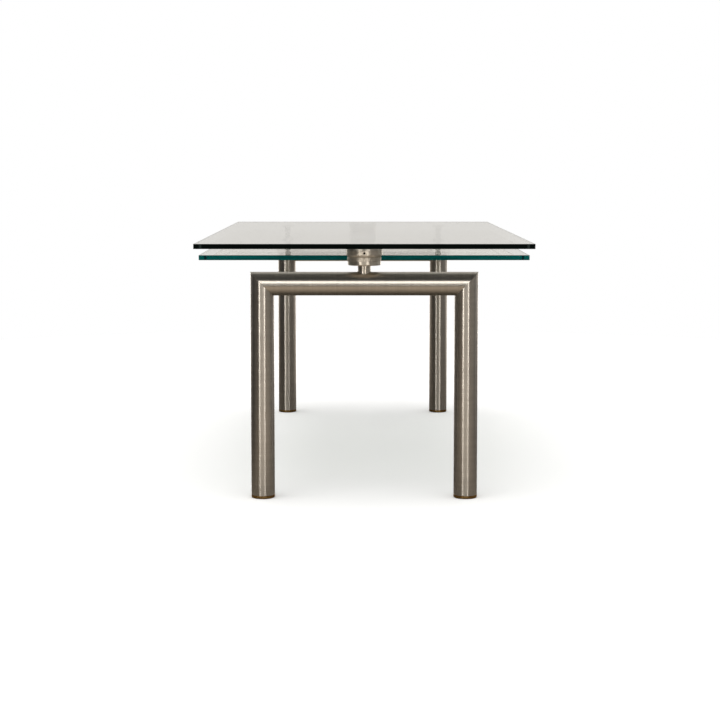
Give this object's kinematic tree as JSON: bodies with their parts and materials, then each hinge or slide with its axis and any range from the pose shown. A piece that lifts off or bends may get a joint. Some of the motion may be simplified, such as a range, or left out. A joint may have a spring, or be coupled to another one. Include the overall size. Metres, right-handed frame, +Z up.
{
  "type": "extendable dining table",
  "caption": "Glass dining table on two round-tube steel end frames with central hubs; a second glass leaf under the top slides out with the far frame.",
  "frame": {"origin": "on the floor under the centre of the closed table", "axes": "+Z up; +Y along the table's length, towards the frame that slides out; +X across its width"},
  "size_m": [1, 1.8, 0.76],
  "materials": {
    "top_glass": "polished plate glass, pale, dark edge",
    "leaf_glass": "polished plate glass, teal edge",
    "frame_steel": "satin stainless steel, warm",
    "plain_steel": "plain zinc-plated steel",
    "fastener_steel": "zinc-plated steel",
    "foot_bronze": "dark bronzed metal cap",
    "aluminium": "extruded, anodised",
    "nylon": "natural nylon",
    "black_plastic": "moulded, satin"
  },
  "bodies": {
    "table": {"upper_glass": "top_glass", "near_left_leg": "frame_steel", "near_right_leg": "frame_steel", "near_cross_tube": "frame_steel", "near_leg_plugs": "plain_steel", "near_hub_post": "frame_steel", "near_hub_base": "frame_steel", "near_hub_collar": "frame_steel", "near_hub_head": "frame_steel", "near_hub_grub_screw": "fastener_steel", "near_hub_bolt": "fastener_steel", "glass_bonding_disc": "frame_steel", "outer_stretcher_tube": "frame_steel", "mouth_glide": "nylon", "stop_bolt": "fastener_steel", "near_roller_bar": "aluminium", "far_roller_bar": "aluminium", "roller_bar_spacers": "plain_steel", "roller_bar_screws": "fastener_steel", "support_roller_axles": "fastener_steel", "left_roller_fork": "frame_steel", "right_roller_fork": "frame_steel", "top_roller_axles": "fastener_steel", "lock_boss": "frame_steel"},
    "extension": {"lower_glass": "leaf_glass", "far_left_leg": "frame_steel", "far_right_leg": "frame_steel", "far_cross_tube": "frame_steel", "far_leg_plugs": "plain_steel", "far_hub_post": "frame_steel", "far_hub_base": "frame_steel", "far_hub_collar": "frame_steel", "far_hub_head": "frame_steel", "far_hub_grub_screw": "fastener_steel", "far_hub_bolt": "fastener_steel", "far_slide_pad": "nylon", "inner_stretcher_tube": "frame_steel", "rear_glide": "nylon", "inner_leaf_bar": "aluminium", "outer_leaf_bar": "aluminium", "leaf_bar_spacers": "plain_steel", "leaf_bar_screws": "fastener_steel", "leaf_bonding_discs": "frame_steel"},
    "near_left_roller_body": {"near_left_roller": "nylon"},
    "near_right_roller_body": {"near_right_roller": "nylon"},
    "far_left_roller_body": {"far_left_roller": "nylon"},
    "far_right_roller_body": {"far_right_roller": "nylon"},
    "left_top_roller_body": {"left_top_roller": "nylon"},
    "right_top_roller_body": {"right_top_roller": "nylon"},
    "near_left_foot_body": {"near_left_foot": "foot_bronze", "near_left_foot_stud": "fastener_steel"},
    "near_right_foot_body": {"near_right_foot": "foot_bronze", "near_right_foot_stud": "fastener_steel"},
    "far_left_foot_body": {"far_left_foot": "foot_bronze", "far_left_foot_stud": "fastener_steel"},
    "far_right_foot_body": {"far_right_foot": "foot_bronze", "far_right_foot_stud": "fastener_steel"},
    "lock": {"lock_shaft": "fastener_steel", "lock_lever": "black_plastic"}
  },
  "joints": [
    {"name": "extension_slide", "type": "slide", "parent": "table", "child": "extension", "axis": [0, 1, 0], "range_m": [0, 0.95]},
    {"name": "near_left_roller_spin", "type": "hinge", "parent": "table", "child": "near_left_roller_body", "pos_m": [-0.286, -0.12, 0.6877], "axis": [1, 0, 0], "continuous": true},
    {"name": "near_right_roller_spin", "type": "hinge", "parent": "table", "child": "near_right_roller_body", "pos_m": [0.286, -0.12, 0.6877], "axis": [1, 0, 0], "continuous": true},
    {"name": "far_left_roller_spin", "type": "hinge", "parent": "table", "child": "far_left_roller_body", "pos_m": [-0.286, 0.54, 0.6877], "axis": [1, 0, 0], "continuous": true},
    {"name": "far_right_roller_spin", "type": "hinge", "parent": "table", "child": "far_right_roller_body", "pos_m": [0.286, 0.54, 0.6877], "axis": [1, 0, 0], "continuous": true},
    {"name": "left_top_roller_spin", "type": "hinge", "parent": "table", "child": "left_top_roller_body", "pos_m": [-0.285, 0.54, 0.7283], "axis": [1, 0, 0], "continuous": true},
    {"name": "right_top_roller_spin", "type": "hinge", "parent": "table", "child": "right_top_roller_body", "pos_m": [0.285, 0.54, 0.7283], "axis": [1, 0, 0], "continuous": true},
    {"name": "near_left_foot_level", "type": "slide", "parent": "table", "child": "near_left_foot_body", "axis": [0, 0, -1], "range_m": [0, 0.01]},
    {"name": "near_right_foot_level", "type": "slide", "parent": "table", "child": "near_right_foot_body", "axis": [0, 0, -1], "range_m": [0, 0.01]},
    {"name": "far_left_foot_level", "type": "slide", "parent": "extension", "child": "far_left_foot_body", "axis": [0, 0, -1], "range_m": [0, 0.01]},
    {"name": "far_right_foot_level", "type": "slide", "parent": "extension", "child": "far_right_foot_body", "axis": [0, 0, -1], "range_m": [0, 0.01]},
    {"name": "lock_turn", "type": "hinge", "parent": "table", "child": "lock", "pos_m": [0.034, 0.575, 0.64], "axis": [1, 0, 0], "range_deg": [0, 90]}
  ],
  "couplings": [
    {"joint": "near_left_roller_spin", "follows": "extension_slide", "rad_per_m": -66.667},
    {"joint": "near_right_roller_spin", "follows": "extension_slide", "rad_per_m": -66.667},
    {"joint": "far_left_roller_spin", "follows": "extension_slide", "rad_per_m": -66.667},
    {"joint": "far_right_roller_spin", "follows": "extension_slide", "rad_per_m": -66.667},
    {"joint": "left_top_roller_spin", "follows": "extension_slide", "rad_per_m": 100},
    {"joint": "right_top_roller_spin", "follows": "extension_slide", "rad_per_m": 100}
  ]
}
